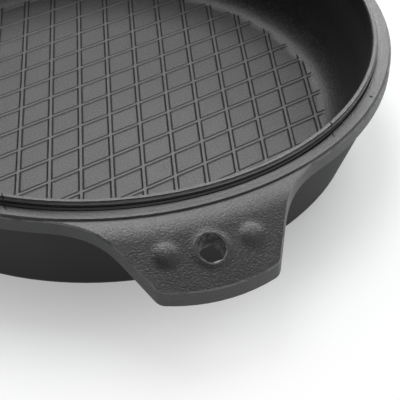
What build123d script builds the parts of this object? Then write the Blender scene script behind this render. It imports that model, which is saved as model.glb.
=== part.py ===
from build123d import *
from math import atan2, cos, hypot, radians, sin, sqrt, tan
import os

os.makedirs("parts", exist_ok=True)

# Round roasting pan: a thick cast shell with a diamond grid of ribs on its floor,
# and a cast rim ring with two wing handles that is pressed on round its lip.
# Millimetres. The origin is the middle of the underside, +Z is up, and the
# handles point along -Y and +Y.

# Heights above the table
FLOOR_Z = 5.0            # top of the floor between the ribs
RIB_HEIGHT = 0.4         # a low pattern, about as high as a thumbnail is thick
SHOULDER_Z = 47.0        # shoulder of the wall that the ring stands on
FLANGE_Z = 55.2          # flat top of the ring, the seat for a lid
LIP_Z = 59.3             # top of the shell's lip

# Shell radii
FOOT_R = 133.0           # wall line where it would meet the table
WALL_TOP_R = 148.9       # outside of the wall at the shoulder
NECK_R = 142.7           # turned neck, so that a narrow gap is left round the lip
NECK_Z = 51.4            # the neck is full width below this height, where the ring grips
LIP_IN_R = 140.9         # about 280 mm across the mouth
LIP_OUT_R = 143.6        # a hair less than the bore, so the ring goes on over it
LIP_LEDGE_R = 142.9      # the lip's top steps down outside this radius
LIP_LEDGE = 0.9
LIP_LEDGE_FALL = 0.5     # the ledge slopes outwards by this
LIP_EDGE = 1.0           # height of the lip's outer edge
LIP_UNDERCUT = 1.2       # height over which the lip runs in to the neck
LIP_BEVEL = 0.5          # soft inner edge of the lip
STRAIGHT_Z = 47.3        # the inside of the wall is upright above this height
STRAIGHT_R = 140.7
INNER_FOOT_R = 128.0     # inside of the wall where it would meet the floor
FLOOR_FILLET = 15.0
FLOOR_STEPS = 18
RIB_STEP = 14            # the curve is in fine steps from here down to the floor
THROAT_STEPS = 2
THROAT_FILLET = 20.0
FOOT_FILLET = 5.0
FOOT_STEPS = 3
BASE_RECESS_R = 112.0    # shallow hollow under the floor, so the pan stands on a ring
BASE_RECESS = 0.8

# Diamond ribs: two families of parallel ribs at 60 degrees to each other
RIB_PITCH = 15.83        # from rib to rib, square across
RIB_TOP = 1.6
RIB_FLANK = 2.1          # how far a flank spreads for each millimetre down
RIB_ROOT = 0.3           # how deep the ribs are rooted in the floor
RIB_REACH = 124.0        # the ribs run out into the curve between floor and wall
RIB_MARGIN = 9.0         # no rib stands nearer to the disc's edge than this
RIB_FAMILIES = ((15.0, 6.85), (75.0, -3.92))   # direction, and offset of the first rib

# Ring
BORE_R = 143.7           # grips the full width of the neck
RELIEF_R = 144.3         # the gap round the lip is wider beside each handle
RELIEF_ANGLE = 31.5      # half of the wide stretch, degrees each side of the handle
RELIEF_DEPTH = 2.4
FLANGE_R = 149.4
STEP_DOWN = 1.0          # step round the outside of the flange
STEP_RUN = 0.4
BAND_R = 150.7
BAND_EDGE = 0.6          # bevel of the band's and the wings' upper edges
UNDER_EDGE = 0.7         # bevel of their lower edges

# Wing handles
WING_FLAT_R = 151.0      # the top is level out to here
WING_BEND_R = 24.6       # then bends down with this radius
WING_SLOPE = 26.6        # to this slope, degrees
WING_UNDER_BEND_R = 22.8
WING_UNDER_SLOPE = 28.5
WING_OUT_Y = 185.0       # outer edge on the centre line
WING_OUT_BOW = 83.0      # radius of the outer edge seen from above
WING_CORNER_X = 27.0     # half width at the outer corners
WING_CORNER_R = 6.0
WING_FLANK = 62.0        # lean of the flanks seen from above, degrees
WING_ROOT_R = 57.0       # sweep of the flanks into the rim
WING_ROOT_Y = 120.0      # the flanks run in under the rim to here
WING_REACH = 200.0       # blank size that the wings are cut from
HOLE_R = 6.0
HOLE_Y = 169.3
COLLAR_R = 8.8
COLLAR_TOP_R = 7.4
COLLAR_RISE = 0.45
BUMP_X = 19.2
BUMP_Y = 167.2
BUMP_R = 6.0
BUMP_RISE = 1.5
BUMP_ROOT = 2.0          # how deep the domes are rooted in the wing

WING_TOP_Z = FLANGE_Z - STEP_DOWN


def wing_height(radius):
    """Height of a wing's sloping top at a distance from the pan's axis."""
    slope = radians(WING_SLOPE)
    bend_end = WING_FLAT_R + WING_BEND_R * sin(slope)
    fall = WING_BEND_R * (1 - cos(slope))
    return WING_TOP_Z - fall - (radius - bend_end) * tan(slope)


def middle_height(place):
    """Height half way through a wing or the band, to tell upper edges from lower ones."""
    radius = hypot(place.X, place.Y)
    middle = (WING_TOP_Z + SHOULDER_Z) / 2
    return middle - max(0, radius - WING_FLAT_R - 4) * tan(radians(WING_SLOPE))


def rounding(before, corner, after, radius, steps):
    """Points along the arc that rounds a corner of the section, from first to last."""
    corner = Vector(*corner)
    back = (Vector(*before) - corner).normalized()
    ahead = (Vector(*after) - corner).normalized()
    turn = radians(180 - back.get_angle(ahead))
    start = corner + back * radius * tan(turn / 2)
    middle = corner + (back + ahead).normalized() * radius / cos(turn / 2)
    angles = [turn * count / steps for count in range(steps + 1)]
    return [middle + (start - middle) * cos(a) - back * radius * sin(a) for a in angles]


# Rib grid: each family is one comb of tapered bars, trimmed to a disc
with BuildPart() as rib_grid:
    for direction, offset in RIB_FAMILIES:
        along = Vector(cos(radians(direction)), sin(radians(direction)), 0)
        across = Vector(-sin(radians(direction)), cos(radians(direction)), 0)
        start = Plane(
            origin=along * -RIB_REACH + Vector(0, 0, FLOOR_Z),
            x_dir=across,
            z_dir=along,
        )
        low = RIB_TOP / 2 + RIB_FLANK * (RIB_HEIGHT + RIB_ROOT)
        with BuildSketch(start):
            for count in range(-8, 9):
                place = offset + count * RIB_PITCH
                if abs(place) < RIB_REACH - RIB_MARGIN:
                    with BuildLine():
                        Polyline(
                            (place - low, -RIB_ROOT),
                            (place - RIB_TOP / 2, RIB_HEIGHT),
                            (place + RIB_TOP / 2, RIB_HEIGHT),
                            (place + low, -RIB_ROOT),
                            close=True,
                        )
                    make_face()
        extrude(amount=2 * RIB_REACH)
    with BuildSketch(Plane.XY):
        Circle(RIB_REACH)
    extrude(amount=FLANGE_Z, mode=Mode.INTERSECT)

# Pan shell: floor, leaning wall, shoulder, neck and rolled lip in one turn
foot = (FOOT_R, 0)
shoulder = (WALL_TOP_R, SHOULDER_Z)
inner_foot = (INNER_FOOT_R, FLOOR_Z)
throat = (STRAIGHT_R, STRAIGHT_Z)
mouth = (LIP_IN_R, LIP_Z - LIP_BEVEL)
ledge_z = LIP_Z - LIP_LEDGE
edge_z = ledge_z - LIP_LEDGE_FALL
foot_curve = rounding((0, 0), foot, shoulder, FOOT_FILLET, FOOT_STEPS)
throat_curve = rounding(mouth, throat, inner_foot, THROAT_FILLET, THROAT_STEPS)
floor_curve = rounding(throat, inner_foot, (0, FLOOR_Z), FLOOR_FILLET, FLOOR_STEPS)
with BuildPart() as pan_shell:
    with BuildSketch(Plane.XZ):
        with BuildLine():
            Polyline(
                (0, BASE_RECESS),
                (BASE_RECESS_R, BASE_RECESS),
                (BASE_RECESS_R + BASE_RECESS, 0),
                *foot_curve,
                shoulder,
                (BORE_R, SHOULDER_Z),
                (BORE_R, NECK_Z),
                (NECK_R, NECK_Z),
                (NECK_R, edge_z - LIP_EDGE - LIP_UNDERCUT),
                (LIP_OUT_R, edge_z - LIP_EDGE),
                (LIP_OUT_R, edge_z),
                (LIP_LEDGE_R, ledge_z),
                (LIP_LEDGE_R, LIP_Z),
                (LIP_IN_R + LIP_BEVEL, LIP_Z),
                mouth,
                *throat_curve,
                floor_curve[0],
            )
            # smooth above the ribs, and in fine steps where the ribs run out
            ThreePointArc(floor_curve[0], floor_curve[RIB_STEP // 2], floor_curve[RIB_STEP])
            Polyline(*floor_curve[RIB_STEP:], (0, FLOOR_Z), (0, BASE_RECESS))
        make_face()
    revolve(axis=Axis.Z)
    add(rib_grid.part)
pan_shell.part.label = "pan_shell"
export_step(pan_shell.part, "parts/pan_shell.step")
print("pan_shell", round(pan_shell.part.volume), len(pan_shell.solids()), len(pan_shell.faces()))

# Rim ring: flange, outer band and both wings in one casting
with BuildPart() as rim_ring:
    with BuildSketch(Plane.XZ):
        with BuildLine():
            top_bend = JernArc(
                (WING_FLAT_R, WING_TOP_Z), (1, 0), WING_BEND_R, -WING_SLOPE
            )
            top_run = WING_REACH - (top_bend @ 1).X
            top_tip = (WING_REACH, (top_bend @ 1).Y - top_run * tan(radians(WING_SLOPE)))
            under_bend = JernArc(
                (WING_FLAT_R, SHOULDER_Z), (1, 0), WING_UNDER_BEND_R, -WING_UNDER_SLOPE
            )
            under_run = WING_REACH - (under_bend @ 1).X
            under_fall = under_run * tan(radians(WING_UNDER_SLOPE))
            under_tip = (WING_REACH, (under_bend @ 1).Y - under_fall)
            Polyline(top_bend @ 1, top_tip, under_tip, under_bend @ 1)
            Polyline(
                (WING_FLAT_R, SHOULDER_Z),
                (BORE_R, SHOULDER_Z),
                (BORE_R, FLANGE_Z),
                (FLANGE_R, FLANGE_Z),
                (FLANGE_R + STEP_RUN, WING_TOP_Z),
                (WING_FLAT_R, WING_TOP_Z),
            )
        make_face()
    revolve(axis=Axis.Z)
    # seen from above: a disc with two swept wings
    with BuildSketch(Plane.XY) as plan:
        Circle(BAND_R)
        bow_y = WING_OUT_Y - WING_OUT_BOW + sqrt(WING_OUT_BOW**2 - WING_CORNER_X**2)
        root_x = WING_CORNER_X + (bow_y - WING_ROOT_Y) / tan(radians(WING_FLANK))
        for side in (-1, 1):
            with BuildLine():
                Polyline(
                    (-WING_CORNER_X, side * bow_y),
                    (-root_x, side * WING_ROOT_Y),
                    (root_x, side * WING_ROOT_Y),
                    (WING_CORNER_X, side * bow_y),
                )
                ThreePointArc(
                    (WING_CORNER_X, side * bow_y),
                    (0, side * WING_OUT_Y),
                    (-WING_CORNER_X, side * bow_y),
                )
            make_face()
        tips = plan.vertices().filter_by(lambda v: hypot(v.X, v.Y) > BAND_R + 5)
        fillet(tips, WING_CORNER_R)
        roots = plan.vertices().filter_by(
            lambda v: abs(hypot(v.X, v.Y) - BAND_R) < 0.5 and abs(v.X) > 20
        )
        fillet(roots, WING_ROOT_R)
    extrude(amount=FLANGE_Z, mode=Mode.INTERSECT)
    # soft edges along the band and round the wings, above and below
    outline = rim_ring.faces().filter_by(
        lambda f: abs(f.normal_at().Z) < 0.01 and hypot(f.center().X, f.center().Y) > BAND_R - 2
    )
    rims = outline.edges().filter_by(lambda e: abs(e.tangent_at(0.5).Z) < 0.99)
    upper = rims.filter_by(lambda e: (e @ 0.5).Z > middle_height(e @ 0.5))
    chamfer(upper, BAND_EDGE)
    outline = rim_ring.faces().filter_by(
        lambda f: abs(f.normal_at().Z) < 0.01 and hypot(f.center().X, f.center().Y) > BAND_R - 2
    )
    rims = outline.edges().filter_by(lambda e: abs(e.tangent_at(0.5).Z) < 0.99)
    lower = rims.filter_by(lambda e: (e @ 0.5).Z < middle_height(e @ 0.5))
    chamfer(lower, UNDER_EDGE)
    # the gap round the lip is wider beside the handles
    with BuildSketch(Plane.XY.offset(FLANGE_Z - RELIEF_DEPTH)):
        half = WING_REACH * tan(radians(RELIEF_ANGLE))
        for side in (-1, 1):
            with BuildLine():
                Polyline((0, 0), (-half, side * WING_REACH), (half, side * WING_REACH), close=True)
            make_face()
        Circle(RELIEF_R, mode=Mode.INTERSECT)
    extrude(amount=RELIEF_DEPTH + 1, mode=Mode.SUBTRACT)
    tilt = radians(WING_SLOPE)
    bump_ball = (BUMP_R**2 + BUMP_RISE**2) / (2 * BUMP_RISE)
    bump_root_r = sqrt(bump_ball**2 - (bump_ball - BUMP_RISE - BUMP_ROOT) ** 2)
    for side in (-1, 1):
        # soft collar round the hanging hole, a shallow bead on the slope
        normal = Vector(0, side * sin(tilt), cos(tilt))
        foot = Vector(0, side * HOLE_Y, wing_height(HOLE_Y))
        with BuildSketch(Plane(origin=foot, x_dir=(1, 0, 0), z_dir=Vector(1, 0, 0).cross(normal))):
            with BuildLine():
                Polyline(
                    (0, COLLAR_RISE),
                    (0, -COLLAR_RISE),
                    (2 * COLLAR_R - COLLAR_TOP_R, -COLLAR_RISE),
                    (COLLAR_TOP_R, COLLAR_RISE),
                    close=True,
                )
            make_face()
        revolve(axis=Axis(foot, normal))
        # two low domes beside the hole
        for hand in (-1, 1):
            angle = atan2(side * BUMP_Y, hand * BUMP_X)
            outward = Vector(cos(angle), sin(angle), 0)
            lean = outward * sin(tilt) + Vector(0, 0, cos(tilt))
            level = Vector(-sin(angle), cos(angle), 0)
            foot = Vector(hand * BUMP_X, side * BUMP_Y, wing_height(hypot(BUMP_X, BUMP_Y)))
            with BuildSketch(Plane(origin=foot, x_dir=level, z_dir=level.cross(lean))):
                with BuildLine():
                    Polyline((0, BUMP_RISE), (0, -BUMP_ROOT), (bump_root_r, -BUMP_ROOT))
                    RadiusArc((bump_root_r, -BUMP_ROOT), (0, BUMP_RISE), -bump_ball)
                make_face()
            revolve(axis=Axis(foot, lean))
        # the hole goes straight down through the sloping wing
        with BuildSketch(Plane.XY):
            with Locations((0, side * HOLE_Y)):
                Circle(HOLE_R)
        extrude(amount=FLANGE_Z, mode=Mode.SUBTRACT)
rim_ring.part.label = "rim_ring"
export_step(rim_ring.part, "parts/rim_ring.step")
print("rim_ring", round(rim_ring.part.volume), len(rim_ring.solids()), len(rim_ring.faces()))
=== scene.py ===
import math

import bpy
from mathutils import Matrix, Vector

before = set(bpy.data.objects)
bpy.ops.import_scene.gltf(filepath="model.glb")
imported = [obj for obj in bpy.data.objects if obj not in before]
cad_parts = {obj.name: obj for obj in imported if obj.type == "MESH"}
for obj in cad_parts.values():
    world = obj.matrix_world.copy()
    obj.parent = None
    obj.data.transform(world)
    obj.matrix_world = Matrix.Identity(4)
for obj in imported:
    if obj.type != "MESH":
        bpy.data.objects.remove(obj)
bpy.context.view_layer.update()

# The photographer's camera. It stands in front of the near handle and a little to its left,
# looks down at about 40 degrees, and is tipped by less than one degree.
CAMERA_PLACE = Vector((-0.12694, -0.49602, 0.37441))
CAMERA_AIM = Vector((0.02557, -0.08599, 0.0))
CAMERA_ROLL_DEG = 0.68
CAMERA_LENS_MM = 103.65
CAMERA_SENSOR_MM = 36.0

camera_data = bpy.data.cameras.new("camera")
camera_data.lens = CAMERA_LENS_MM
camera_data.sensor_width = CAMERA_SENSOR_MM
camera = bpy.data.objects.new("camera", camera_data)
bpy.context.scene.collection.objects.link(camera)
look = (CAMERA_AIM - CAMERA_PLACE).to_track_quat("-Z", "Y").to_matrix().to_4x4()
roll = Matrix.Rotation(math.radians(CAMERA_ROLL_DEG), 4, "Z")
camera.matrix_world = Matrix.Translation(CAMERA_PLACE) @ look @ roll
bpy.context.scene.camera = camera
bpy.context.scene.view_settings.view_transform = "Standard"


# The studio: white paper under and behind the pan, and round softboxes that light level
# faces from behind and from the right, so that they shine softly and the wall stays dark.
def linear(hex_colour):
    """An sRGB colour written as six hex digits, as linear RGBA."""
    parts = [int(hex_colour[i:i + 2], 16) / 255 for i in (0, 2, 4)]
    parts = [p / 12.92 if p <= 0.04045 else ((p + 0.055) / 1.055) ** 2.4 for p in parts]
    return (*parts, 1.0)


def add_node(tree, kind, inputs=None, **settings):
    """Adds a node. Inputs, by name or number, are sockets to link or plain values."""
    node = tree.nodes.new(kind)
    for name, value in settings.items():
        setattr(node, name, value)
    for name, value in (inputs or {}).items():
        if isinstance(value, bpy.types.NodeSocket):
            tree.links.new(value, node.inputs[name])
        else:
            node.inputs[name].default_value = value
    return node


def background_rays(tree):
    """1 for rays that show the background: from the camera, off gloss and through glass."""
    path = add_node(tree, "ShaderNodeLightPath").outputs
    seen = path["Is Camera Ray"]
    for kind in ("Is Glossy Ray", "Is Transmission Ray"):
        seen = add_node(
            tree, "ShaderNodeMath", {0: seen, 1: path[kind]}, operation="ADD", use_clamp=True
        ).outputs[0]
    return seen


WHITE = "FFFFFF"
WHITE_STRENGTH = 1.0
PAPER_SIZE = 6.0
PAPER_COLOUR = "ECF3F1"
PAPER_ROUGHNESS = 0.9
PAPER_SPECULAR = 0.2
# In the photograph the paper is lit from all round: its shadow is pale by the pan and gone
# further out. Seen directly or in a reflection, the paper is lifted towards white like that.
PAPER_LIFT_NEAR = 0.37
PAPER_LIFT_FAR = 1.0
PAPER_NEAR_R = 0.118
PAPER_FAR_R = 0.235
floor_mesh = bpy.data.meshes.new("floor")
half = PAPER_SIZE / 2
corners = [(-half, -half, 0), (half, -half, 0), (half, half, 0), (-half, half, 0)]
floor_mesh.from_pydata(corners, [], [(0, 1, 2, 3)])
floor = bpy.data.objects.new("floor", floor_mesh)
bpy.context.scene.collection.objects.link(floor)
paper = bpy.data.materials.new("white studio paper")
paper.use_nodes = True
tree = paper.node_tree
shader = tree.nodes["Principled BSDF"]
shader.inputs["Base Color"].default_value = linear(PAPER_COLOUR)
shader.inputs["Roughness"].default_value = PAPER_ROUGHNESS
shader.inputs["Specular IOR Level"].default_value = PAPER_SPECULAR
place = add_node(tree, "ShaderNodeTexCoord").outputs["Object"]
out = add_node(tree, "ShaderNodeVectorMath", {0: place}, operation="LENGTH").outputs["Value"]
lift = add_node(
    tree, "ShaderNodeMapRange",
    {
        "Value": out, "From Min": PAPER_NEAR_R, "From Max": PAPER_FAR_R,
        "To Min": PAPER_LIFT_NEAR, "To Max": PAPER_LIFT_FAR,
    },
    interpolation_type="SMOOTHSTEP",
).outputs[0]
lift = add_node(
    tree, "ShaderNodeMath", {0: lift, 1: background_rays(tree)}, operation="MULTIPLY"
).outputs[0]
white = add_node(
    tree, "ShaderNodeEmission", {"Color": linear(WHITE), "Strength": WHITE_STRENGTH}
).outputs[0]
mixed = add_node(
    tree, "ShaderNodeMixShader", {0: lift, 1: shader.outputs[0], 2: white}
).outputs[0]
tree.links.new(mixed, tree.nodes["Material Output"].inputs["Surface"])
floor_mesh.materials.append(paper)

WORLD_LIGHT = 0.035
# The white surroundings end at this height of a ray's direction, and fade out above it.
BACKDROP_TOP = (0.14, 0.26)
world = bpy.data.worlds.new("studio")
bpy.context.scene.world = world
world.use_nodes = True
tree = world.node_tree
background = tree.nodes["Background"]
background.inputs["Color"].default_value = linear(WHITE)
direction = add_node(tree, "ShaderNodeTexCoord").outputs["Generated"]
height = add_node(tree, "ShaderNodeSeparateXYZ", {"Vector": direction}).outputs["Z"]
backdrop = add_node(
    tree, "ShaderNodeMapRange",
    {
        "Value": height, "From Min": BACKDROP_TOP[0], "From Max": BACKDROP_TOP[1],
        "To Min": 1.0, "To Max": 0.0,
    },
).outputs[0]
seen = add_node(
    tree, "ShaderNodeMath", {0: background_rays(tree), 1: backdrop}, operation="MULTIPLY"
).outputs[0]
strength = add_node(
    tree, "ShaderNodeMapRange",
    {"Value": seen, "To Min": WORLD_LIGHT, "To Max": WHITE_STRENGTH},
).outputs[0]
tree.links.new(strength, background.inputs["Strength"])

SOFTBOX_DISTANCE = 1.6
SOFTBOX_DIAMETER = 0.85
# Each softbox by its bearing from the back towards the right and its height, both in
# degrees, and its watts.
SOFTBOXES = {
    "behind, low": (30.0, 12.0, 12.5),
    "behind": (10.0, 52.0, 13.2),
    "overhead": (0.0, 72.0, 12.0),
    "right": (60.0, 42.0, 12.8),
    "front right": (150.0, 32.0, 2.5),
}
for name, (bearing, elevation, watts) in SOFTBOXES.items():
    turn = math.radians(bearing)
    rise = math.radians(elevation)
    lamp_place = SOFTBOX_DISTANCE * Vector(
        (math.sin(turn) * math.cos(rise), math.cos(turn) * math.cos(rise), math.sin(rise))
    )
    lamp = bpy.data.lights.new(name, "AREA")
    lamp.shape = "DISK"
    lamp.size = SOFTBOX_DIAMETER
    lamp.energy = watts
    softbox = bpy.data.objects.new(name, lamp)
    bpy.context.scene.collection.objects.link(softbox)
    aim = (-lamp_place).to_track_quat("-Z", "Y").to_matrix().to_4x4()
    softbox.matrix_world = Matrix.Translation(lamp_place) @ aim
    softbox.visible_camera = False


# The pan shell: floor, ribs, wall, neck and lip, one piece of grey iron cast in sand. It was
# sprayed with a matte dark coat that is baked on, and its lip was turned on a lathe.
def measure(tree):
    """Where a point of the pan is: its place, X, Y and Z, its distance from the pan's axis,
    X, Y and Z with the pan folded to one quarter, and how close round the pan it is to a
    handle, as the cosine of the angle between them."""
    place = add_node(tree, "ShaderNodeTexCoord").outputs["Object"]
    axes = add_node(tree, "ShaderNodeSeparateXYZ", {"Vector": place}).outputs
    level = add_node(tree, "ShaderNodeCombineXYZ", {"X": axes["X"], "Y": axes["Y"]}).outputs[0]
    radius = add_node(
        tree, "ShaderNodeVectorMath", {0: level}, operation="LENGTH"
    ).outputs["Value"]
    folded = add_node(tree, "ShaderNodeVectorMath", {0: place}, operation="ABSOLUTE").outputs[0]
    sides = add_node(tree, "ShaderNodeSeparateXYZ", {"Vector": folded}).outputs
    toward = add_node(
        tree, "ShaderNodeMath", {0: sides["Y"], 1: radius}, operation="DIVIDE"
    ).outputs[0]
    return place, axes, radius, sides, toward


MM = 0.001
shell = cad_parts["pan_shell"]
# Sand-cast iron under a baked coat: dark neutral grey, half matte, with a fine even grain,
# slow changes of tone where the coat lies thicker, and a line of painted shade along each rib.
shell_coat = bpy.data.materials.new("sand-cast iron with a matte baked coat")
shell_coat.use_nodes = True
tree = shell_coat.node_tree
shader = tree.nodes["Principled BSDF"]
COAT_THICK = "1B1B1B"
COAT_THIN = "282828"
# rubbed coat, also used as the painted highlight on the rib tops
COAT_RUBBED_AND_HIGHLIGHT = "505050"
# painted shade along the rib flanks
RIB_FLANK_PAINTED_SHADE = "0A0A0A"
# painted shade on the wall
WALL_PAINTED_SHADE = "0A0A0A"
COAT_ROUGHNESS = 0.5
COAT_ROUGHNESS_SPREAD = 0.1
place, axes, radius, sides, toward = measure(tree)

# the coat's thickness changes over some 35 mm
COAT_PATCH = 35 * MM
PATCH_DETAIL = 4.0
PATCH_FADE = 0.6
PATCH_RANGE = (0.3, 0.7)


def coat_tone(tree, place, thick, thin):
    """The coat's colour, which changes slowly with its thickness."""
    patches = add_node(
        tree, "ShaderNodeTexNoise",
        {
            "Vector": place, "Scale": 1 / COAT_PATCH,
            "Detail": PATCH_DETAIL, "Roughness": PATCH_FADE,
        },
    ).outputs[0]
    thinness = add_node(
        tree, "ShaderNodeMapRange",
        {"Value": patches, "From Min": PATCH_RANGE[0], "From Max": PATCH_RANGE[1]},
    ).outputs[0]
    return add_node(
        tree, "ShaderNodeMix", {0: thinness, 6: linear(thick), 7: linear(thin)},
        data_type="RGBA",
    ).outputs[2]


colour = coat_tone(tree, place, COAT_THICK, COAT_THIN)

# The grain of the sand is 0.2 mm, drawn at 1 mm so that it shows. Its tops are rubbed
# lighter inside the pan, but not outside it, beyond the middle of the leaning wall.
SAND_GRAIN = 1.0 * MM
SAND_DEPTH = 0.12 * MM
SAND_DETAIL = 2.0
SAND_FADE = 0.6
SAND_RUBBED = (0.45, 0.75)
SAND_RUBBED_SHARE = 0.8
WALL_LEAN = 0.318
MIDDLE_OF_WALL = 129.8 * MM
grain = add_node(
    tree, "ShaderNodeTexNoise",
    {
        "Vector": place, "Scale": 1 / SAND_GRAIN,
        "Detail": SAND_DETAIL, "Roughness": SAND_FADE,
    },
).outputs[0]
middle = add_node(
    tree, "ShaderNodeMath", {0: axes["Z"], 1: WALL_LEAN, 2: MIDDLE_OF_WALL},
    operation="MULTIPLY_ADD",
).outputs[0]
inside = add_node(
    tree, "ShaderNodeMath", {0: radius, 1: middle}, operation="LESS_THAN"
).outputs[0]
outside = add_node(
    tree, "ShaderNodeMath", {0: 1.0, 1: inside}, operation="SUBTRACT"
).outputs[0]
rubbed = add_node(
    tree, "ShaderNodeMapRange",
    {
        "Value": grain, "From Min": SAND_RUBBED[0], "From Max": SAND_RUBBED[1],
        "To Max": SAND_RUBBED_SHARE,
    },
).outputs[0]
rubbed = add_node(
    tree, "ShaderNodeMath", {0: rubbed, 1: inside}, operation="MULTIPLY"
).outputs[0]
colour = add_node(
    tree, "ShaderNodeMix", {0: rubbed, 6: colour, 7: linear(COAT_RUBBED_AND_HIGHLIGHT)}, data_type="RGBA"
).outputs[2]

# The ribs, in two families: each one's direction, the offset of its first rib, how dark its
# near flanks are, how wide its dark lines are, and how far its tops are lightened. Along both
# flanks of a rib the coat is rough and painted dark as shade; the tops are lighter, partly
# rubbed and partly a painted highlight.
RIB_DIRECTIONS = (15.0, 75.0)
RIB_OFFSETS = (6.85 * MM, -3.92 * MM)
RIB_PITCH = 15.83 * MM
RIB_TOP = 1.6 * MM
RIB_CROSSING = 0.4 * MM
RIB_LAST = 116.4 * MM
RIBS_END_R = 125 * MM
RIBS_LOW = 4 * MM
RIBS_HIGH = (5.42 * MM, 5.62 * MM)
FLANK_NEAR_SHARES = (0.36, 1.0)
FLANK_WIDTHS = (1.9 * MM, 1.35 * MM)
FLANK_MIDDLE = 1.17 * MM
FLANK_DEPTH = 0.35 * MM
FLANK_ROUGHNESS = 0.95
TOP_HIGHLIGHT_SHARES = (0.5, 0.25)
TOP_HALF = (0.45 * MM, 0.85 * MM)
from_rib = []
ribbed = []
side_shares = []
for direction, offset, near_share in zip(RIB_DIRECTIONS, RIB_OFFSETS, FLANK_NEAR_SHARES):
    turn = math.radians(direction)
    across = add_node(
        tree, "ShaderNodeVectorMath", {0: place, 1: (-math.sin(turn), math.cos(turn), 0)},
        operation="DOT_PRODUCT",
    ).outputs["Value"]
    shifted = add_node(
        tree, "ShaderNodeMath", {0: across, 1: offset}, operation="SUBTRACT"
    ).outputs[0]
    from_rib.append(
        add_node(
            tree, "ShaderNodeMath", {0: shifted, 1: RIB_PITCH / 2}, operation="PINGPONG"
        ).outputs[0]
    )
    signed = add_node(
        tree, "ShaderNodeMath", {0: shifted, 1: RIB_PITCH / 2, 2: -RIB_PITCH / 2},
        operation="WRAP",
    ).outputs[0]
    far_side = add_node(
        tree, "ShaderNodeMath", {0: signed, 1: 0.0}, operation="GREATER_THAN"
    ).outputs[0]
    side_shares.append(
        add_node(
            tree, "ShaderNodeMapRange", {"Value": far_side, "To Min": near_share}
        ).outputs[0]
    )
    aside = add_node(tree, "ShaderNodeMath", {0: across}, operation="ABSOLUTE").outputs[0]
    ribbed.append(
        add_node(
            tree, "ShaderNodeMath", {0: aside, 1: RIB_LAST}, operation="LESS_THAN"
        ).outputs[0]
    )
flanks = []
tops = []
for own, other in ((0, 1), (1, 0)):
    off = add_node(
        tree, "ShaderNodeMath", {0: from_rib[own], 1: FLANK_MIDDLE}, operation="SUBTRACT"
    ).outputs[0]
    off = add_node(tree, "ShaderNodeMath", {0: off}, operation="ABSOLUTE").outputs[0]
    line = add_node(
        tree, "ShaderNodeMapRange",
        {"Value": off, "From Max": FLANK_WIDTHS[own] / 2, "To Min": 1.0, "To Max": 0.0},
        interpolation_type="SMOOTHSTEP",
    ).outputs[0]
    # a flank stops where the other family's ribs cross it
    clear = add_node(
        tree, "ShaderNodeMapRange",
        {
            "Value": from_rib[other], "From Min": RIB_TOP / 2,
            "From Max": RIB_TOP / 2 + RIB_CROSSING,
        },
    ).outputs[0]
    clear = add_node(
        tree, "ShaderNodeMath", {0: ribbed[other], 1: clear}, operation="MULTIPLY"
    ).outputs[0]
    uncrossed = add_node(
        tree, "ShaderNodeMath", {0: 1.0, 1: ribbed[other]}, operation="SUBTRACT"
    ).outputs[0]
    clear = add_node(
        tree, "ShaderNodeMath", {0: clear, 1: uncrossed}, operation="ADD"
    ).outputs[0]
    for limit in (clear, ribbed[own], side_shares[own]):
        line = add_node(
            tree, "ShaderNodeMath", {0: line, 1: limit}, operation="MULTIPLY"
        ).outputs[0]
    flanks.append(line)
    tops.append(
        add_node(
            tree, "ShaderNodeMapRange",
            {
                "Value": from_rib[own], "From Min": TOP_HALF[0], "From Max": TOP_HALF[1],
                "To Min": TOP_HIGHLIGHT_SHARES[own], "To Max": 0.0,
            },
        ).outputs[0]
    )
flank = add_node(
    tree, "ShaderNodeMath", {0: flanks[0], 1: flanks[1]}, operation="MAXIMUM"
).outputs[0]
top = add_node(
    tree, "ShaderNodeMath", {0: tops[0], 1: tops[1]}, operation="MAXIMUM"
).outputs[0]
low = add_node(
    tree, "ShaderNodeMapRange",
    {
        "Value": axes["Z"], "From Min": RIBS_HIGH[0], "From Max": RIBS_HIGH[1],
        "To Min": 1.0, "To Max": 0.0,
    },
).outputs[0]
above = add_node(
    tree, "ShaderNodeMath", {0: axes["Z"], 1: RIBS_LOW}, operation="GREATER_THAN"
).outputs[0]
within = add_node(
    tree, "ShaderNodeMath", {0: radius, 1: RIBS_END_R}, operation="LESS_THAN"
).outputs[0]
for limit in (low, above, within):
    flank = add_node(
        tree, "ShaderNodeMath", {0: flank, 1: limit}, operation="MULTIPLY"
    ).outputs[0]
    top = add_node(
        tree, "ShaderNodeMath", {0: top, 1: limit}, operation="MULTIPLY"
    ).outputs[0]
# painted highlight on the rib tops, partly rubbed coat
colour = add_node(
    tree, "ShaderNodeMix", {0: top, 6: colour, 7: linear(COAT_RUBBED_AND_HIGHLIGHT)}, data_type="RGBA"
).outputs[2]
# painted shade along both flanks of each rib
colour = add_node(
    tree, "ShaderNodeMix", {0: flank, 6: colour, 7: linear(RIB_FLANK_PAINTED_SHADE)}, data_type="RGBA"
).outputs[2]

# On the wall, inside and out, the coat is duller over finer sand and painted darker as shade.
WALL_DARKENS = (12 * MM, 34 * MM)
WALL_INSIDE_R = 141.2 * MM
WALL_ROUGHNESS = 0.7
WALL_GRAIN_SHARE = 0.3
wall = add_node(
    tree, "ShaderNodeMapRange",
    {"Value": axes["Z"], "From Min": WALL_DARKENS[0], "From Max": WALL_DARKENS[1]},
    interpolation_type="SMOOTHSTEP",
).outputs[0]
below_lip = add_node(
    tree, "ShaderNodeMath", {0: radius, 1: WALL_INSIDE_R}, operation="LESS_THAN"
).outputs[0]
for limit in (inside, below_lip):
    wall = add_node(
        tree, "ShaderNodeMath", {0: wall, 1: limit}, operation="MULTIPLY"
    ).outputs[0]
wall = add_node(
    tree, "ShaderNodeMath", {0: wall, 1: outside}, operation="MAXIMUM"
).outputs[0]
# painted shade on the wall, inside and out
colour = add_node(
    tree, "ShaderNodeMix", {0: wall, 6: colour, 7: linear(WALL_PAINTED_SHADE)}, data_type="RGBA"
).outputs[2]

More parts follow.
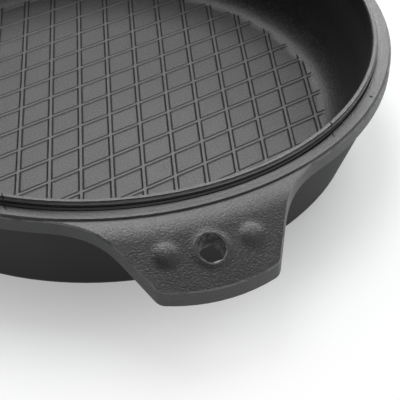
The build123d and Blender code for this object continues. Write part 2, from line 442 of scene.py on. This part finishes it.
# The lip's top is turned: fine rings round the pan, drawn 0.7 mm apart so that they show,
# broken up by the chatter of the tool across them. Handling has rubbed it lighter.
LIP_LOW = (57.5 * MM, 58.0 * MM)
LIP_R = 142 * MM
TURNING_PITCH = 0.7 * MM
CHATTER_LENGTH = 1.3 * MM
TURNING_DEPTH = 0.12 * MM
TURNING_DETAIL = 3.0
TURNING_FADE = 0.6
TURNING_RUBBED = (0.35, 0.7)
lip = add_node(
    tree, "ShaderNodeMapRange",
    {"Value": axes["Z"], "From Min": LIP_LOW[0], "From Max": LIP_LOW[1]},
).outputs[0]
angle = add_node(
    tree, "ShaderNodeMath", {0: axes["Y"], 1: axes["X"]}, operation="ARCTAN2"
).outputs[0]
round_pan = add_node(
    tree, "ShaderNodeMath", {0: angle, 1: LIP_R / CHATTER_LENGTH}, operation="MULTIPLY"
).outputs[0]
across_lip = add_node(
    tree, "ShaderNodeMath", {0: radius, 1: 1 / TURNING_PITCH}, operation="MULTIPLY"
).outputs[0]
lathe = add_node(tree, "ShaderNodeCombineXYZ", {"X": round_pan, "Y": across_lip}).outputs[0]
turning = add_node(
    tree, "ShaderNodeTexNoise",
    {"Vector": lathe, "Scale": 1.0, "Detail": TURNING_DETAIL, "Roughness": TURNING_FADE},
).outputs[0]
polish = add_node(
    tree, "ShaderNodeMapRange",
    {"Value": turning, "From Min": TURNING_RUBBED[0], "From Max": TURNING_RUBBED[1]},
).outputs[0]
polish = add_node(
    tree, "ShaderNodeMath", {0: polish, 1: lip}, operation="MULTIPLY"
).outputs[0]
colour = add_node(
    tree, "ShaderNodeMix", {0: polish, 6: colour, 7: linear(COAT_RUBBED_AND_HIGHLIGHT)}, data_type="RGBA"
).outputs[2]

# The ledge outside the lip's top is painted light where the lip shades it, most of all
# beside the handles. How close a place is to a handle is given as a cosine.
HANDLE_SIDE = (0.89, 0.99)
LEDGE = (57.7 * MM, 58.6 * MM)
LEDGE_R = 142.85 * MM
LEDGE_PAINTED_LIGHT = "8C8C8C"
LEDGE_AWAY_SHARE = 0.3
ledge = add_node(
    tree, "ShaderNodeMath", {0: radius, 1: LEDGE_R}, operation="GREATER_THAN"
).outputs[0]
for edge, comparison in zip(LEDGE, ("GREATER_THAN", "LESS_THAN")):
    reached = add_node(
        tree, "ShaderNodeMath", {0: axes["Z"], 1: edge}, operation=comparison
    ).outputs[0]
    ledge = add_node(
        tree, "ShaderNodeMath", {0: ledge, 1: reached}, operation="MULTIPLY"
    ).outputs[0]
by_handle = add_node(
    tree, "ShaderNodeMapRange",
    {
        "Value": toward, "From Min": HANDLE_SIDE[0], "From Max": HANDLE_SIDE[1],
        "To Min": LEDGE_AWAY_SHARE,
    },
).outputs[0]
ledge = add_node(
    tree, "ShaderNodeMath", {0: ledge, 1: by_handle}, operation="MULTIPLY"
).outputs[0]
# painted light on the ledge
colour = add_node(
    tree, "ShaderNodeMix", {0: ledge, 6: colour, 7: linear(LEDGE_PAINTED_LIGHT)}, data_type="RGBA"
).outputs[2]

# A painted highlight: a light line on the neck, which shows in the gap under the lip.
NECK_HIGHLIGHT_Z = (54.2 * MM, 55.4 * MM)
NECK_R = (142.4 * MM, 143.0 * MM)
NECK_PAINTED_HIGHLIGHT = "B4B4B4"
neck_highlight = 1.0
for value, limits in ((axes["Z"], NECK_HIGHLIGHT_Z), (radius, NECK_R)):
    for limit, comparison in zip(limits, ("GREATER_THAN", "LESS_THAN")):
        reached = add_node(
            tree, "ShaderNodeMath", {0: value, 1: limit}, operation=comparison
        ).outputs[0]
        neck_highlight = add_node(
            tree, "ShaderNodeMath", {0: reached, 1: neck_highlight}, operation="MULTIPLY"
        ).outputs[0]
# painted highlight on the neck
colour = add_node(
    tree, "ShaderNodeMix", {0: neck_highlight, 6: colour, 7: linear(NECK_PAINTED_HIGHLIGHT)}, data_type="RGBA"
).outputs[2]

# A dark line is scribed across the lip and the ring's flange, a little askew, about 32
# degrees round from each handle on both sides of it.
SCRIBED_FROM = math.radians(32.5)
SCRIBED_SKEW = math.radians(2.0) / (7.4 * MM)
SCRIBED_HALF = (0.15 * MM, 0.5 * MM)
SCRIBED_COLOUR = "060606"
SCRIBED_LIP_SHARE = 0.9


def scribed_line(tree, sides, radius, share):
    """How deep a place lies in a scribed line: the share in its middle, 0 beside it."""
    round_from = add_node(
        tree, "ShaderNodeMath", {0: sides["X"], 1: sides["Y"]}, operation="ARCTAN2"
    ).outputs[0]
    line_at = add_node(
        tree, "ShaderNodeMath",
        {0: radius, 1: -SCRIBED_SKEW, 2: SCRIBED_FROM + LIP_R * SCRIBED_SKEW},
        operation="MULTIPLY_ADD",
    ).outputs[0]
    off = add_node(
        tree, "ShaderNodeMath", {0: round_from, 1: line_at}, operation="SUBTRACT"
    ).outputs[0]
    off = add_node(tree, "ShaderNodeMath", {0: off}, operation="ABSOLUTE").outputs[0]
    off = add_node(tree, "ShaderNodeMath", {0: off, 1: LIP_R}, operation="MULTIPLY").outputs[0]
    return add_node(
        tree, "ShaderNodeMapRange",
        {
            "Value": off, "From Min": SCRIBED_HALF[0], "From Max": SCRIBED_HALF[1],
            "To Min": share, "To Max": 0.0,
        },
    ).outputs[0]


scribed = add_node(
    tree, "ShaderNodeMath",
    {0: scribed_line(tree, sides, radius, SCRIBED_LIP_SHARE), 1: lip}, operation="MULTIPLY",
).outputs[0]
colour = add_node(
    tree, "ShaderNodeMix", {0: scribed, 6: colour, 7: linear(SCRIBED_COLOUR)},
    data_type="RGBA",
).outputs[2]
tree.links.new(colour, shader.inputs["Base Color"])

roughness = add_node(
    tree, "ShaderNodeMapRange",
    {
        "Value": grain, "To Min": COAT_ROUGHNESS - COAT_ROUGHNESS_SPREAD,
        "To Max": COAT_ROUGHNESS + COAT_ROUGHNESS_SPREAD,
    },
).outputs[0]
for share, value in (
    (flank, FLANK_ROUGHNESS), (wall, WALL_ROUGHNESS), (scribed, FLANK_ROUGHNESS)
):
    roughness = add_node(
        tree, "ShaderNodeMix", {0: share, 2: roughness, 3: value}, data_type="FLOAT"
    ).outputs[0]
tree.links.new(roughness, shader.inputs["Roughness"])
relief = add_node(
    tree, "ShaderNodeMapRange", {"Value": wall, "To Min": 1.0, "To Max": WALL_GRAIN_SHARE}
).outputs[0]
relief = add_node(
    tree, "ShaderNodeMath", {0: grain, 1: relief}, operation="MULTIPLY"
).outputs[0]
sand = add_node(tree, "ShaderNodeBump", {"Height": relief, "Distance": SAND_DEPTH}).outputs[0]
cut = add_node(
    tree, "ShaderNodeMath", {0: flank, 1: scribed}, operation="MAXIMUM"
).outputs[0]
lines = add_node(
    tree, "ShaderNodeBump", {"Height": cut, "Distance": FLANK_DEPTH, "Normal": sand},
    invert=True,
).outputs[0]
marks = add_node(
    tree, "ShaderNodeMath", {0: turning, 1: lip}, operation="MULTIPLY"
).outputs[0]
turned = add_node(
    tree, "ShaderNodeBump", {"Height": marks, "Distance": TURNING_DEPTH, "Normal": lines}
).outputs[0]
tree.links.new(turned, shader.inputs["Normal"])
shell.data.materials.clear()
shell.data.materials.append(shell_coat)

# The rim ring: flange, band and both wing handles, one rougher iron casting in the same coat.
# It is pressed on round the neck from above; its flat top is the seat of a lid.
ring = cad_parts["rim_ring"]
# Cast iron from coarser sand under a baked coat: pebbled and a little shinier than the shell,
# worn lighter along the edges, painted light on the seat, and lighter where the hole hangs on
# its hook, partly worn and partly a painted highlight.
ring_coat = bpy.data.materials.new("coarse sand-cast iron with a matte baked coat")
ring_coat.use_nodes = True
tree = ring_coat.node_tree
shader = tree.nodes["Principled BSDF"]
RING_THICK = "303030"
RING_THIN = "404040"
RING_RUBBED = "505050"
RING_ROUGHNESS = 0.44
RING_ROUGHNESS_SPREAD = 0.12
place, axes, radius, sides, toward = measure(tree)
upward = add_node(tree, "ShaderNodeTexCoord").outputs["Normal"]
upward = add_node(tree, "ShaderNodeSeparateXYZ", {"Vector": upward}).outputs["Z"]

# pebbles of about 1 mm, with the sand's 0.3 mm grain between them drawn at 0.7 mm
PEBBLE = 1.0 * MM
PEBBLE_DEPTH = 0.17 * MM
RING_GRAIN = 0.7 * MM
RING_GRAIN_DEPTH = 0.12 * MM
RING_GRAIN_DETAIL = 1.0
RING_GRAIN_FADE = 0.5
RING_GRAIN_RUBBED = (0.5, 0.72)
RING_RUBBED_SHARE = 0.8
pebbles, grain = [
    add_node(
        tree, "ShaderNodeTexNoise",
        {
            "Vector": place, "Scale": 1 / width,
            "Detail": RING_GRAIN_DETAIL, "Roughness": RING_GRAIN_FADE,
        },
    ).outputs[0]
    for width in (PEBBLE, RING_GRAIN)
]
colour = coat_tone(tree, place, RING_THICK, RING_THIN)
rubbed = add_node(
    tree, "ShaderNodeMapRange",
    {
        "Value": grain, "From Min": RING_GRAIN_RUBBED[0], "From Max": RING_GRAIN_RUBBED[1],
        "To Max": RING_RUBBED_SHARE,
    },
).outputs[0]
colour = add_node(
    tree, "ShaderNodeMix", {0: rubbed, 6: colour, 7: linear(RING_RUBBED)}, data_type="RGBA"
).outputs[2]

# The band's and the wings' sides were dressed on a grinder, which evens out their tone.
SIDE_DRESSED = "3E3E3E"
SIDE_SHARE = 0.7
SIDE_UPWARD = (0.2, 0.4)
side = add_node(
    tree, "ShaderNodeMapRange",
    {
        "Value": upward, "From Min": SIDE_UPWARD[0], "From Max": SIDE_UPWARD[1],
        "To Min": SIDE_SHARE, "To Max": 0.0,
    },
).outputs[0]
colour = add_node(
    tree, "ShaderNodeMix", {0: side, 6: colour, 7: linear(SIDE_DRESSED)}, data_type="RGBA"
).outputs[2]

# The seat is painted bright, a painted light where the lip shades it, most of all close to
# the lip and beside the handles.
SEAT_PAINTED_LIGHT = "909090"
SEAT_LOW = 54.3 * MM
SEAT_IN_R = 144.4 * MM
SEAT_LIGHT_END_R = 147.6 * MM
SEAT_OUT_R = 149.5 * MM
SEAT_OUT_SHARE = 0.04
SEAT_AWAY_SHARE = 0.08
high = add_node(
    tree, "ShaderNodeMath", {0: axes["Z"], 1: SEAT_LOW}, operation="GREATER_THAN"
).outputs[0]
on_seat = add_node(
    tree, "ShaderNodeMath", {0: radius, 1: SEAT_OUT_R}, operation="LESS_THAN"
).outputs[0]
by_handle = add_node(
    tree, "ShaderNodeMapRange",
    {
        "Value": toward, "From Min": HANDLE_SIDE[0], "From Max": HANDLE_SIDE[1],
        "To Min": SEAT_AWAY_SHARE, "To Max": 1.0,
    },
).outputs[0]
near_lip = add_node(
    tree, "ShaderNodeMapRange",
    {
        "Value": radius, "From Min": SEAT_IN_R, "From Max": SEAT_LIGHT_END_R,
        "To Min": 1.0, "To Max": SEAT_OUT_SHARE,
    },
    interpolation_type="SMOOTHSTEP",
).outputs[0]
seat = high
for limit in (on_seat, by_handle, near_lip):
    seat = add_node(
        tree, "ShaderNodeMath", {0: seat, 1: limit}, operation="MULTIPLY"
    ).outputs[0]
# painted light on the seat
colour = add_node(
    tree, "ShaderNodeMix", {0: seat, 6: colour, 7: linear(SEAT_PAINTED_LIGHT)}, data_type="RGBA"
).outputs[2]

# Hands have worn the bevelled edges of the band and the wings. A bevel leans outwards, and
# so do the collar and the domes, which are left out by their places.
EDGE_WORN = "7C7C7C"
BEVEL_OUT_R = 150.2 * MM
BEVEL_UPWARD = (0.3, 0.5)
FLAT_UPWARD = (0.78, 0.86)
HOLE_PLACE = (0, 169.3 * MM, 47.95 * MM)
DOME_PLACE = (19.2 * MM, 167.2 * MM, 48.45 * MM)
COLLAR_CLEAR = 10.5 * MM
DOME_CLEAR = 8.0 * MM
WORN_LENGTH = 9 * MM
WORN_DETAIL = 3.0
WORN_RANGE = (0.25, 0.5)
folded = add_node(tree, "ShaderNodeVectorMath", {0: place}, operation="ABSOLUTE").outputs[0]
from_hole = add_node(
    tree, "ShaderNodeVectorMath", {0: folded, 1: HOLE_PLACE}, operation="DISTANCE"
).outputs["Value"]
from_dome = add_node(
    tree, "ShaderNodeVectorMath", {0: folded, 1: DOME_PLACE}, operation="DISTANCE"
).outputs["Value"]
bevel = add_node(
    tree, "ShaderNodeMapRange",
    {"Value": upward, "From Min": BEVEL_UPWARD[0], "From Max": BEVEL_UPWARD[1]},
).outputs[0]
leaning = add_node(
    tree, "ShaderNodeMapRange",
    {
        "Value": upward, "From Min": FLAT_UPWARD[0], "From Max": FLAT_UPWARD[1],
        "To Min": 1.0, "To Max": 0.0,
    },
).outputs[0]
worn = add_node(
    tree, "ShaderNodeTexNoise",
    {"Vector": place, "Scale": 1 / WORN_LENGTH, "Detail": WORN_DETAIL},
).outputs[0]
worn = add_node(
    tree, "ShaderNodeMapRange",
    {"Value": worn, "From Min": WORN_RANGE[0], "From Max": WORN_RANGE[1]},
).outputs[0]
beyond = [
    add_node(
        tree, "ShaderNodeMath", {0: distance, 1: least}, operation="GREATER_THAN"
    ).outputs[0]
    for distance, least in (
        (radius, BEVEL_OUT_R), (from_hole, COLLAR_CLEAR), (from_dome, DOME_CLEAR)
    )
]
for limit in (leaning, *beyond, worn):
    bevel = add_node(
        tree, "ShaderNodeMath", {0: bevel, 1: limit}, operation="MULTIPLY"
    ).outputs[0]
colour = add_node(
    tree, "ShaderNodeMix", {0: bevel, 6: colour, 7: linear(EDGE_WORN)}, data_type="RGBA"
).outputs[2]

# The hole was drilled after coating and has a dark skin, rubbed off in patches of some 2 mm;
# its outer edge is lighter, partly worn by the hook and partly a painted highlight.
HOLE_SKIN = "060606"
HOLE_BARE = "6C6C6C"
HOLE_WALL_R = 6.08 * MM
HOLE_PATCH = 2.0 * MM
HOLE_PATCH_DETAIL = 2.0
HOLE_PATCH_RANGE = (0.45, 0.6)
HOOK_WEAR_AND_HIGHLIGHT = "7E7E7E"
HOOK_EDGE = (6.1 * MM, 6.6 * MM)
HOOK_OUTWARD = (1.5 * MM, 4 * MM)
level = add_node(tree, "ShaderNodeCombineXYZ", {"X": sides["X"], "Y": sides["Y"]}).outputs[0]
from_axis = add_node(
    tree, "ShaderNodeVectorMath", {0: level, 1: (0, HOLE_PLACE[1], 0)}, operation="DISTANCE"
).outputs["Value"]
drilled = add_node(
    tree, "ShaderNodeMath", {0: from_axis, 1: HOLE_WALL_R}, operation="LESS_THAN"
).outputs[0]
torn = add_node(
    tree, "ShaderNodeTexNoise",
    {"Vector": place, "Scale": 1 / HOLE_PATCH, "Detail": HOLE_PATCH_DETAIL},
).outputs[0]
torn = add_node(
    tree, "ShaderNodeMapRange",
    {"Value": torn, "From Min": HOLE_PATCH_RANGE[0], "From Max": HOLE_PATCH_RANGE[1]},
).outputs[0]
skin = add_node(
    tree, "ShaderNodeMix", {0: torn, 6: linear(HOLE_SKIN), 7: linear(HOLE_BARE)},
    data_type="RGBA",
).outputs[2]
colour = add_node(
    tree, "ShaderNodeMix", {0: drilled, 6: colour, 7: skin}, data_type="RGBA"
).outputs[2]
hook = add_node(
    tree, "ShaderNodeMapRange",
    {
        "Value": from_axis, "From Min": HOOK_EDGE[0], "From Max": HOOK_EDGE[1],
        "To Min": 1.0, "To Max": 0.0,
    },
).outputs[0]
outward = add_node(
    tree, "ShaderNodeMapRange",
    {
        "Value": sides["Y"], "From Min": HOLE_PLACE[1] + HOOK_OUTWARD[0],
        "From Max": HOLE_PLACE[1] + HOOK_OUTWARD[1],
    },
).outputs[0]
coated = add_node(
    tree, "ShaderNodeMath", {0: 1.0, 1: drilled}, operation="SUBTRACT"
).outputs[0]
for limit in (outward, coated):
    hook = add_node(
        tree, "ShaderNodeMath", {0: hook, 1: limit}, operation="MULTIPLY"
    ).outputs[0]
# hook-worn edge and painted highlight along the hole's outer edge
colour = add_node(
    tree, "ShaderNodeMix", {0: hook, 6: colour, 7: linear(HOOK_WEAR_AND_HIGHLIGHT)}, data_type="RGBA"
).outputs[2]

# The scribed lines go on across the flange and fade out. A small pit, a casting flaw, is in
# the flange to the right as seen from the near handle.
SCRIBED_FLANGE_SHARE = 0.8
PIT_PLACE = (105.9 * MM, -102.3 * MM, 55.2 * MM)
PIT_R = (0.3 * MM, 0.9 * MM)
PIT_SHARE = 0.9
scribed = scribed_line(tree, sides, radius, SCRIBED_FLANGE_SHARE)
for limit in (high, on_seat, near_lip):
    scribed = add_node(
        tree, "ShaderNodeMath", {0: scribed, 1: limit}, operation="MULTIPLY"
    ).outputs[0]
from_pit = add_node(
    tree, "ShaderNodeVectorMath", {0: place, 1: PIT_PLACE}, operation="DISTANCE"
).outputs["Value"]
pit = add_node(
    tree, "ShaderNodeMapRange",
    {
        "Value": from_pit, "From Min": PIT_R[0], "From Max": PIT_R[1],
        "To Min": PIT_SHARE, "To Max": 0.0,
    },
).outputs[0]
cut = add_node(tree, "ShaderNodeMath", {0: pit, 1: scribed}, operation="MAXIMUM").outputs[0]
colour = add_node(
    tree, "ShaderNodeMix", {0: cut, 6: colour, 7: linear(SCRIBED_COLOUR)}, data_type="RGBA"
).outputs[2]
tree.links.new(colour, shader.inputs["Base Color"])

roughness = add_node(
    tree, "ShaderNodeMapRange",
    {
        "Value": pebbles, "To Min": RING_ROUGHNESS - RING_ROUGHNESS_SPREAD,
        "To Max": RING_ROUGHNESS + RING_ROUGHNESS_SPREAD,
    },
).outputs[0]
roughness = add_node(
    tree, "ShaderNodeMix", {0: cut, 2: roughness, 3: FLANK_ROUGHNESS}, data_type="FLOAT"
).outputs[0]
tree.links.new(roughness, shader.inputs["Roughness"])
coarse = add_node(
    tree, "ShaderNodeBump", {"Height": pebbles, "Distance": PEBBLE_DEPTH}
).outputs[0]
soft = add_node(
    tree, "ShaderNodeBump",
    {"Height": grain, "Distance": RING_GRAIN_DEPTH, "Normal": coarse},
).outputs[0]
# The domes and the collar run softly into the wing, as sand castings do. Each has a ramp
# inside its edge and one outside it, given by where the ramp starts and how high it is.
DOME_EDGE = 6.0 * MM
DOME_RAMPS = ((4.4 * MM, 0.19 * MM), (8.2 * MM, 0.16 * MM))
COLLAR_EDGE = 8.8 * MM
COLLAR_RAMPS = ((7.4 * MM, 0.12 * MM), (11.0 * MM, 0.16 * MM))
RAMP_CURVE = 2.0
for distance, edge, ramps in (
    (from_dome, DOME_EDGE, DOME_RAMPS), (from_hole, COLLAR_EDGE, COLLAR_RAMPS)
):
    for start, height in ramps:
        ramp = add_node(
            tree, "ShaderNodeMapRange", {"Value": distance, "From Min": start, "From Max": edge}
        ).outputs[0]
        ramp = add_node(
            tree, "ShaderNodeMath", {0: ramp, 1: RAMP_CURVE}, operation="POWER"
        ).outputs[0]
        soft = add_node(
            tree, "ShaderNodeBump", {"Height": ramp, "Distance": height, "Normal": soft}
        ).outputs[0]
cuts = add_node(
    tree, "ShaderNodeBump", {"Height": cut, "Distance": FLANK_DEPTH, "Normal": soft},
    invert=True,
).outputs[0]
tree.links.new(cuts, shader.inputs["Normal"])
ring.data.materials.clear()
ring.data.materials.append(ring_coat)
